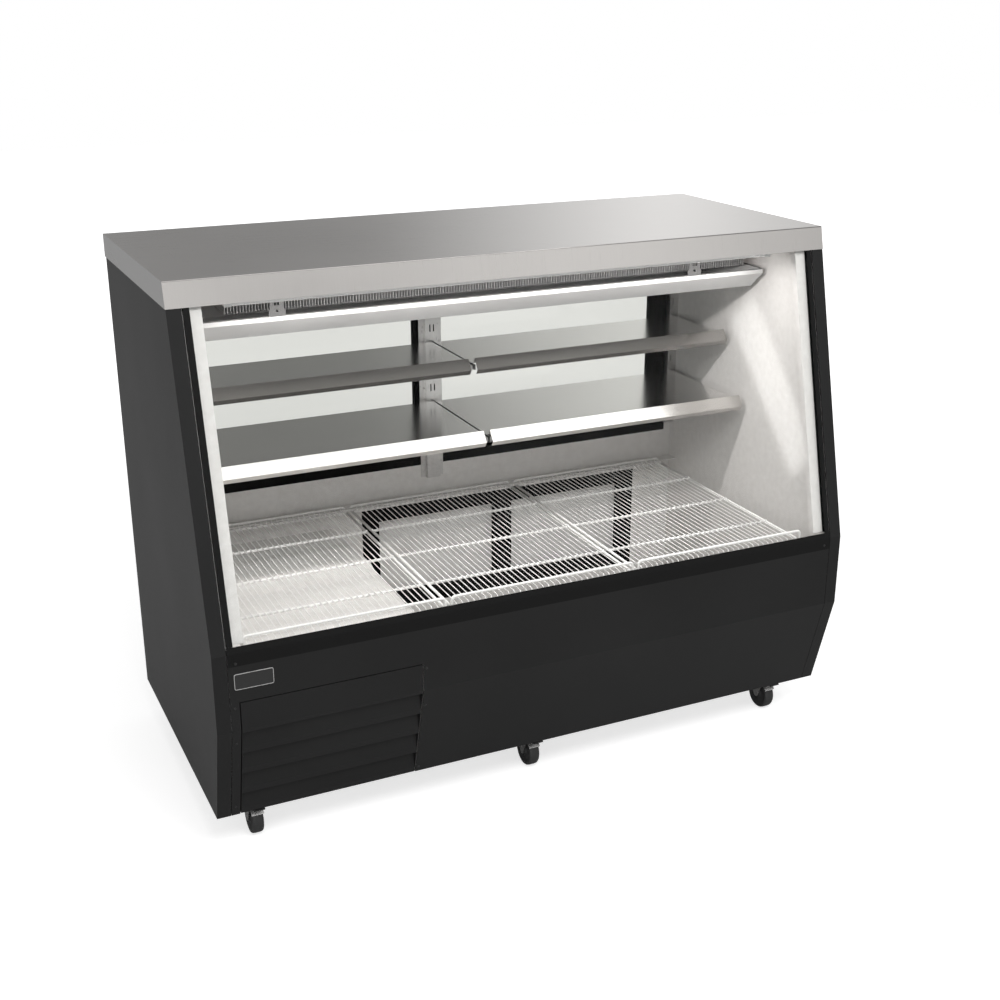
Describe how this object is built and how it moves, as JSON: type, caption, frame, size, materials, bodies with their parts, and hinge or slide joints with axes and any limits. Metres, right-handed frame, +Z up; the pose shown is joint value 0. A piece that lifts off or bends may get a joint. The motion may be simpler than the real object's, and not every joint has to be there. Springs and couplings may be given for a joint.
{
  "type": "deli display case",
  "caption": "Refrigerated serve-over display case with a sloping glass front, black painted body, steel countertop, rear sliding doors, storage doors below and swivel castors",
  "frame": {"origin": "on the floor, under the middle of the case", "axes": "+X along the counter to the customer's right, +Y from the customer to the server, +Z up"},
  "size_m": [1.524, 0.767, 1.211],
  "materials": {
    "black_paint": "black baked paint, semi-gloss",
    "black_aluminium": "black anodised extrusion",
    "countertop_steel": "brushed stainless sheet",
    "shelf_steel": "grey enamelled shelf sheet",
    "white_liner": "white stucco liner",
    "pan_paint": "white enamelled sheet",
    "bracket_steel": "zinc-plated strip",
    "clear_glass": "clear float glass",
    "door_glass": "pale tinted glass",
    "white_wire": "white epoxy-coated wire",
    "fin_aluminium": "mill aluminium fins",
    "copper_tube": "bare copper tube",
    "black_enamel": "black enamel",
    "fan_plastic": "moulded plastic",
    "black_plastic": "moulded plastic",
    "wheel_rubber": "hard black rubber",
    "zinc_plate": "bright zinc plate",
    "lamp_tube": "white fluorescent tube and sockets"
  },
  "bodies": {
    "cabinet": {"base_pan": "zinc_plate", "left_end_panel": "black_paint", "right_end_panel": "black_paint", "left_end_wall": "white_liner", "right_end_wall": "white_liner", "storage_tub": "white_liner", "machine_deck": "white_liner", "front_panel": "black_paint", "glass_frame": "black_paint", "front_glass": "clear_glass", "countertop": "countertop_steel", "top_deck": "white_liner", "lamp": "lamp_tube", "rear_wall": "white_liner", "rear_panel": "black_paint", "rear_vent_panel": "black_paint", "upper_door_frame": "black_aluminium", "storage_door_frame": "black_paint", "storage_hinges": "zinc_plate", "louvre_grille": "black_paint", "pilasters": "bracket_steel", "shelf_brackets": "bracket_steel", "evaporator_fins": "fin_aluminium", "drip_pan": "pan_paint", "condenser": "fin_aluminium", "fan_motor": "black_enamel", "compressor": "black_enamel", "refrigerant_lines": "copper_tube", "castor_plates": "zinc_plate"},
    "left_sliding_door": {"left_sliding_door": "black_aluminium", "left_door_glass": "door_glass"},
    "right_sliding_door": {"right_sliding_door": "black_aluminium", "right_door_glass": "door_glass"},
    "left_storage_door": {"left_storage_door": "black_paint"},
    "right_storage_door": {"right_storage_door": "black_paint"},
    "fan_blade": {"fan_blade": "fan_plastic"},
    "thermostat_knob": {"thermostat_knob": "black_plastic"},
    "light_switch": {"light_switch": "black_plastic"},
    "left_rack": {"left_rack": "white_wire"},
    "middle_rack": {"middle_rack": "white_wire"},
    "right_rack": {"right_rack": "white_wire"},
    "lower_left_shelf": {"lower_left_shelf": "shelf_steel"},
    "lower_right_shelf": {"lower_right_shelf": "shelf_steel"},
    "upper_left_shelf": {"upper_left_shelf": "shelf_steel"},
    "upper_right_shelf": {"upper_right_shelf": "shelf_steel"},
    "front_left_fork": {"front_left_fork": "zinc_plate"},
    "front_left_wheel": {"front_left_wheel": "wheel_rubber"},
    "left_brake_pedal": {"left_brake_pedal": "black_plastic"},
    "front_middle_fork": {"front_middle_fork": "zinc_plate"},
    "front_middle_wheel": {"front_middle_wheel": "wheel_rubber"},
    "middle_brake_pedal": {"middle_brake_pedal": "black_plastic"},
    "front_right_fork": {"front_right_fork": "zinc_plate"},
    "front_right_wheel": {"front_right_wheel": "wheel_rubber"},
    "right_brake_pedal": {"right_brake_pedal": "black_plastic"},
    "rear_left_fork": {"rear_left_fork": "zinc_plate"},
    "rear_left_wheel": {"rear_left_wheel": "wheel_rubber"},
    "rear_middle_fork": {"rear_middle_fork": "zinc_plate"},
    "rear_middle_wheel": {"rear_middle_wheel": "wheel_rubber"},
    "rear_right_fork": {"rear_right_fork": "zinc_plate"},
    "rear_right_wheel": {"rear_right_wheel": "wheel_rubber"}
  },
  "joints": [
    {"name": "left_sliding_door_slide", "type": "slide", "parent": "cabinet", "child": "left_sliding_door", "axis": [1, 0, 0], "range_m": [0, 0.669]},
    {"name": "right_sliding_door_slide", "type": "slide", "parent": "cabinet", "child": "right_sliding_door", "axis": [-1, 0, 0], "range_m": [0, 0.669]},
    {"name": "left_storage_door_hinge", "type": "hinge", "parent": "cabinet", "child": "left_storage_door", "pos_m": [-0.1945, 0.3792, 0.3335], "axis": [0, 0, 1], "range_deg": [0, 110]},
    {"name": "right_storage_door_hinge", "type": "hinge", "parent": "cabinet", "child": "right_storage_door", "pos_m": [0.6005, 0.3792, 0.3335], "axis": [0, 0, -1], "range_deg": [0, 110]},
    {"name": "fan_spin", "type": "hinge", "parent": "cabinet", "child": "fan_blade", "pos_m": [-0.518, -0.228, 0.2282], "axis": [0, 1, 0], "continuous": true},
    {"name": "thermostat_turn", "type": "hinge", "parent": "cabinet", "child": "thermostat_knob", "pos_m": [-0.45, 0.375, 0.35], "axis": [0, 1, 0], "range_deg": [0, 300]},
    {"name": "light_switch_rock", "type": "hinge", "parent": "cabinet", "child": "light_switch", "pos_m": [-0.38, 0.37, 0.35], "axis": [-1, 0, 0], "range_deg": [0, 10]},
    {"name": "left_rack_lift", "type": "slide", "parent": "cabinet", "child": "left_rack", "axis": [0, 0, 1], "range_m": [0, 0.08]},
    {"name": "middle_rack_lift", "type": "slide", "parent": "cabinet", "child": "middle_rack", "axis": [0, 0, 1], "range_m": [0, 0.08]},
    {"name": "right_rack_lift", "type": "slide", "parent": "cabinet", "child": "right_rack", "axis": [0, 0, 1], "range_m": [0, 0.08]},
    {"name": "lower_left_shelf_lift", "type": "slide", "parent": "cabinet", "child": "lower_left_shelf", "axis": [0, 0, 1], "range_m": [0, 0.06]},
    {"name": "lower_right_shelf_lift", "type": "slide", "parent": "cabinet", "child": "lower_right_shelf", "axis": [0, 0, 1], "range_m": [0, 0.06]},
    {"name": "upper_left_shelf_lift", "type": "slide", "parent": "cabinet", "child": "upper_left_shelf", "axis": [0, 0, 1], "range_m": [0, 0.06]},
    {"name": "upper_right_shelf_lift", "type": "slide", "parent": "cabinet", "child": "upper_right_shelf", "axis": [0, 0, 1], "range_m": [0, 0.06]},
    {"name": "front_left_swivel", "type": "hinge", "parent": "cabinet", "child": "front_left_fork", "pos_m": [-0.665, -0.221, 0.09], "axis": [0, 0, 1], "continuous": true},
    {"name": "front_left_roll", "type": "hinge", "parent": "front_left_fork", "child": "front_left_wheel", "pos_m": [-0.665, -0.246, 0.038], "axis": [1, 0, 0], "continuous": true},
    {"name": "left_brake", "type": "hinge", "parent": "front_left_fork", "child": "left_brake_pedal", "pos_m": [-0.665, -0.267, 0.0795], "axis": [1, 0, 0], "range_deg": [0, 15]},
    {"name": "front_middle_swivel", "type": "hinge", "parent": "cabinet", "child": "front_middle_fork", "pos_m": [0, -0.221, 0.09], "axis": [0, 0, 1], "continuous": true},
    {"name": "front_middle_roll", "type": "hinge", "parent": "front_middle_fork", "child": "front_middle_wheel", "pos_m": [0, -0.246, 0.038], "axis": [1, 0, 0], "continuous": true},
    {"name": "middle_brake", "type": "hinge", "parent": "front_middle_fork", "child": "middle_brake_pedal", "pos_m": [0, -0.267, 0.0795], "axis": [1, 0, 0], "range_deg": [0, 15]},
    {"name": "front_right_swivel", "type": "hinge", "parent": "cabinet", "child": "front_right_fork", "pos_m": [0.665, -0.221, 0.09], "axis": [0, 0, 1], "continuous": true},
    {"name": "front_right_roll", "type": "hinge", "parent": "front_right_fork", "child": "front_right_wheel", "pos_m": [0.665, -0.246, 0.038], "axis": [1, 0, 0], "continuous": true},
    {"name": "right_brake", "type": "hinge", "parent": "front_right_fork", "child": "right_brake_pedal", "pos_m": [0.665, -0.267, 0.0795], "axis": [1, 0, 0], "range_deg": [0, 15]},
    {"name": "rear_left_swivel", "type": "hinge", "parent": "cabinet", "child": "rear_left_fork", "pos_m": [-0.665, 0.29, 0.09], "axis": [0, 0, 1], "continuous": true},
    {"name": "rear_left_roll", "type": "hinge", "parent": "rear_left_fork", "child": "rear_left_wheel", "pos_m": [-0.665, 0.265, 0.038], "axis": [1, 0, 0], "continuous": true},
    {"name": "rear_middle_swivel", "type": "hinge", "parent": "cabinet", "child": "rear_middle_fork", "pos_m": [0, 0.29, 0.09], "axis": [0, 0, 1], "continuous": true},
    {"name": "rear_middle_roll", "type": "hinge", "parent": "rear_middle_fork", "child": "rear_middle_wheel", "pos_m": [0, 0.265, 0.038], "axis": [1, 0, 0], "continuous": true},
    {"name": "rear_right_swivel", "type": "hinge", "parent": "cabinet", "child": "rear_right_fork", "pos_m": [0.665, 0.29, 0.09], "axis": [0, 0, 1], "continuous": true},
    {"name": "rear_right_roll", "type": "hinge", "parent": "rear_right_fork", "child": "rear_right_wheel", "pos_m": [0.665, 0.265, 0.038], "axis": [1, 0, 0], "continuous": true}
  ]
}
